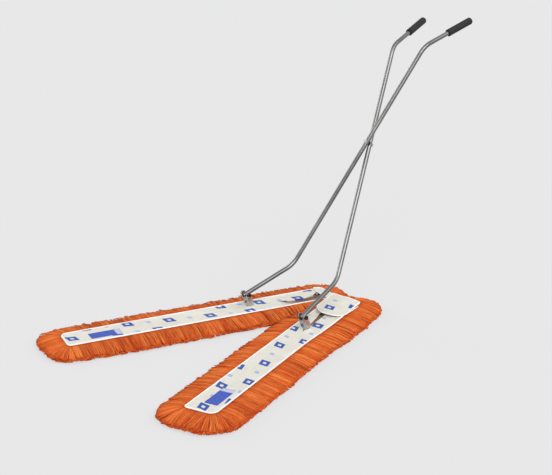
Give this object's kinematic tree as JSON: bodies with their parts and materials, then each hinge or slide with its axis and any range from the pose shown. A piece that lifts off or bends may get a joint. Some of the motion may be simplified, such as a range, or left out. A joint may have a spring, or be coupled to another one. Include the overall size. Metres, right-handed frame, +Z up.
{
  "type": "scissor dust mop",
  "caption": "Scissor dust mop: long canvas-topped heads with orange yarn fringe, hinged in a V and worked by crossed bent tube handles with rubber grips.",
  "frame": {"origin": "on the floor, under the middle of the mop's box", "axes": "+Z up from the floor, +Y from the mouth of the V back towards the person who pushes it, and +X to the right for someone who looks into the mouth of the V, along +Y; left and right in the names are meant that way"},
  "size_m": [0.964, 1.6351, 1.004],
  "materials": {
    "orange_yarn": "looped and cut synthetic yarn, orange, ragged at its ends",
    "canvas": "off-white woven cotton canvas",
    "binding_tape": "white woven edge tape",
    "frame_steel": "plain steel rod and strip, inside the sleeve",
    "zinc_steel": "bright zinc-plated steel",
    "plated_tube": "bright plated steel tube",
    "black_rubber": "soft matt black rubber",
    "dark_nylon": "dark nylon washers"
  },
  "bodies": {
    "head_left": {"frame_loop_left": "frame_steel", "cross_straps_left": "frame_steel", "swivel_plate_left": "frame_steel", "swivel_stud_left": "zinc_steel", "hinge_leaf_left": "frame_steel", "canvas_base_left": "canvas", "canvas_top_left": "canvas", "binding_left": "binding_tape", "pocket_flap_left": "canvas", "yarn_pad_left": "orange_yarn", "fringe_outer_left": "orange_yarn", "fringe_inner_left": "orange_yarn", "fringe_heel_left": "orange_yarn", "hinge_pin": "zinc_steel"},
    "head_right": {"frame_loop_right": "frame_steel", "cross_straps_right": "frame_steel", "swivel_plate_right": "frame_steel", "swivel_stud_right": "zinc_steel", "hinge_leaf_right": "frame_steel", "canvas_base_right": "canvas", "canvas_top_right": "canvas", "binding_right": "binding_tape", "pocket_flap_right": "canvas", "yarn_pad_right": "orange_yarn", "fringe_outer_right": "orange_yarn", "fringe_inner_right": "orange_yarn", "fringe_heel_right": "orange_yarn"},
    "fork_left": {"fork_left": "zinc_steel"},
    "fork_right": {"fork_right": "zinc_steel"},
    "pin_left": {"clevis_bolt_left": "zinc_steel", "clevis_nut_left": "zinc_steel", "rocker_ball_left": "dark_nylon"},
    "pin_right": {"clevis_bolt_right": "zinc_steel", "clevis_nut_right": "zinc_steel", "rocker_ball_right": "dark_nylon"},
    "handle_left": {"handle_tube_left": "plated_tube", "grip_left": "black_rubber", "pivot_bolt": "zinc_steel", "pivot_washer_left": "dark_nylon"},
    "handle_right": {"handle_tube_right": "plated_tube", "grip_right": "black_rubber", "pivot_nut": "zinc_steel", "pivot_washer_right": "dark_nylon"}
  },
  "joints": [
    {"name": "v_open", "type": "hinge", "parent": "head_left", "child": "head_right", "pos_m": [0, 0.19654, 0.0305], "axis": [0, 0, 1], "range_deg": [-27, 28], "deforming": ["fringe_inner_left", "fringe_heel_left", "fringe_inner_right", "fringe_heel_right"]},
    {"name": "swivel_left", "type": "hinge", "parent": "head_left", "child": "fork_left", "pos_m": [-0.14313, -0.07269, 0.042], "axis": [0, 0, 1], "range_deg": [-15, 15]},
    {"name": "swivel_right", "type": "hinge", "parent": "head_right", "child": "fork_right", "pos_m": [0.14313, -0.07269, 0.042], "axis": [0, 0, 1], "range_deg": [-15, 15]},
    {"name": "handle_tilt", "type": "hinge", "parent": "fork_left", "child": "pin_left", "pos_m": [-0.14313, -0.08724, 0.087], "axis": [1, 0, 0], "range_deg": [-22, 32]},
    {"name": "tilt_right", "type": "hinge", "parent": "fork_right", "child": "pin_right", "pos_m": [0.14313, -0.08724, 0.087], "axis": [1, 0, 0], "range_deg": [-23, 33]},
    {"name": "rock_left", "type": "hinge", "parent": "pin_left", "child": "handle_left", "pos_m": [-0.14313, -0.08724, 0.087], "axis": [0, -0.8462, 0.5329], "range_deg": [-6.5, 6.5]},
    {"name": "rock_right", "type": "hinge", "parent": "pin_right", "child": "handle_right", "pos_m": [0.14313, -0.08724, 0.087], "axis": [0, -0.8462, 0.5329], "range_deg": [-6.5, 6.5]}
  ],
  "couplings": [
    {"joint": "swivel_left", "follows": "v_open", "ratio": 0.5},
    {"joint": "swivel_right", "follows": "v_open", "ratio": -0.5},
    {"joint": "rock_left", "follows": "v_open", "ratio": -0.2009},
    {"joint": "rock_right", "follows": "v_open", "ratio": 0.2009},
    {"joint": "tilt_right", "follows": "handle_tilt", "ratio": 1}
  ]
}
